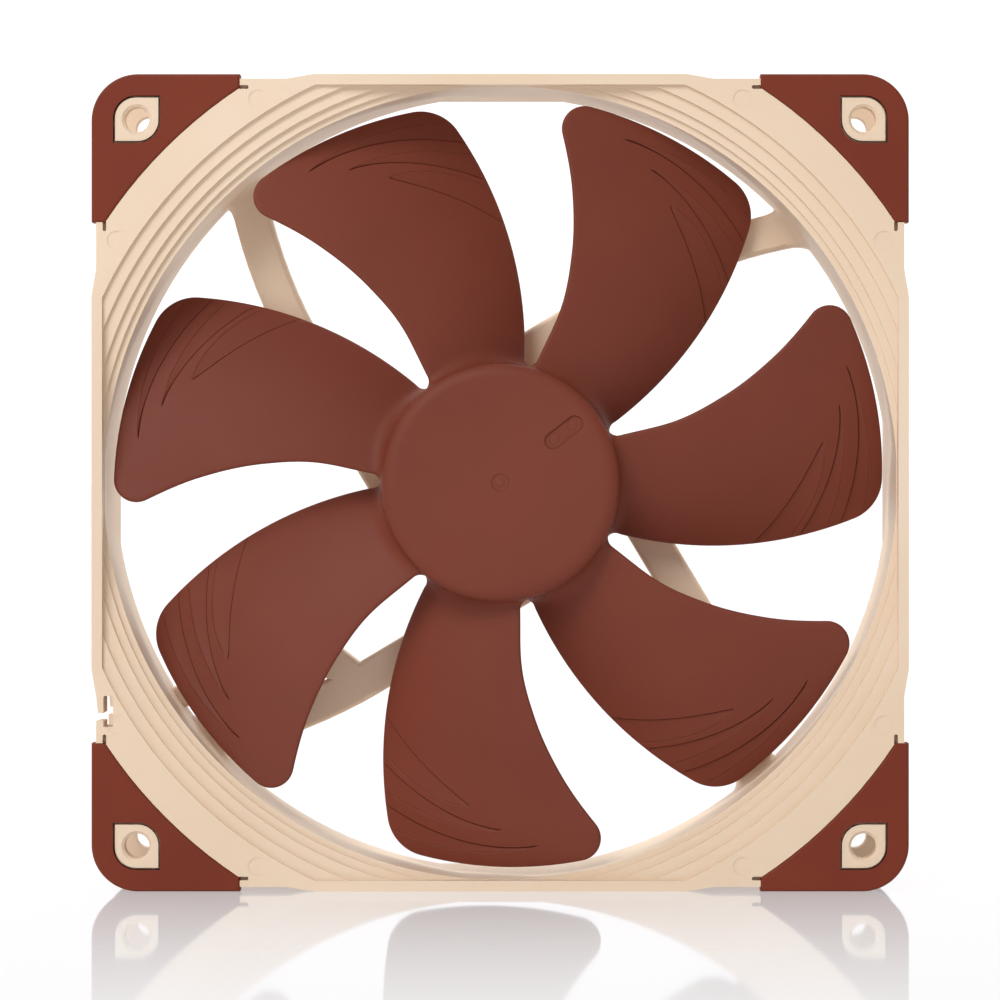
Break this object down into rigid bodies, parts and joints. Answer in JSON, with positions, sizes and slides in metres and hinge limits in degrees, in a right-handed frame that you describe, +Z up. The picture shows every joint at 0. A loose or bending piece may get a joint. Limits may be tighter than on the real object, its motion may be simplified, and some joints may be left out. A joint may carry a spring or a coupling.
{
  "type": "case fan",
  "caption": "Square axial computer case fan with stepped inlet ring, swept blades on a round hub, rubber corner pads front and rear, and curved rear struts to the motor base.",
  "frame": {"origin": "middle of the fan: on the impeller's axis, halfway between the pads' front and rear faces", "axes": "+Z up, +X to the right seen from the intake side, the intake faces -Y and air leaves towards +Y; the impeller turns about Y"},
  "size_m": [0.14, 0.025, 0.14],
  "materials": {
    "frame_plastic": "beige glass-fibre filled moulding, fine satin grain",
    "impeller_plastic": "red-brown filled moulding, satin, slightly glossier than the frame",
    "pad_rubber": "soft moulded elastomer, matt red-brown",
    "yoke_steel": "drawn and plated steel cup",
    "bright_steel": "ground steel",
    "core_steel": "stamped silicon steel sheets",
    "brass_part": "turned brass and sintered bronze",
    "winding_copper": "enamelled copper wire",
    "magnet_compound": "bonded ferrite, dark grey",
    "insulator_plastic": "black glass-filled nylon",
    "bearing_plastic": "natural low-friction plastic",
    "board_laminate": "green solder mask over glass-epoxy",
    "component_black": "moulded component bodies",
    "label_film": "plain brown film, no print"
  },
  "bodies": {
    "stator": {"frame": "frame_plastic", "front_pad_top_right": "pad_rubber", "front_pad_top_left": "pad_rubber", "front_pad_bottom_left": "pad_rubber", "front_pad_bottom_right": "pad_rubber", "rear_pad_top_right": "pad_rubber", "rear_pad_top_left": "pad_rubber", "rear_pad_bottom_left": "pad_rubber", "rear_pad_bottom_right": "pad_rubber", "bearing_shell": "brass_part", "bearing_sleeve": "brass_part", "oil_seal": "bearing_plastic", "axial_magnet": "magnet_compound", "thrust_pad": "bearing_plastic", "stator_core": "core_steel", "front_insulator": "insulator_plastic", "rear_insulator": "insulator_plastic", "coil_right": "winding_copper", "coil_top": "winding_copper", "coil_left": "winding_copper", "coil_bottom": "winding_copper", "circuit_board": "board_laminate", "driver_chip": "component_black", "hall_sensor": "component_black", "capacitor": "component_black", "chip_resistors": "component_black", "winding_pins": "bright_steel", "rear_label": "label_film"},
    "rotor": {"impeller": "impeller_plastic", "rotor_yoke": "yoke_steel", "ring_magnet": "magnet_compound", "shaft_seat": "brass_part", "shaft": "bright_steel", "retaining_washer": "bearing_plastic"}
  },
  "joints": [
    {"name": "rotor_spin", "type": "hinge", "parent": "stator", "child": "rotor", "pos_m": [0, 0, 0], "axis": [0, -1, 0], "continuous": true}
  ]
}
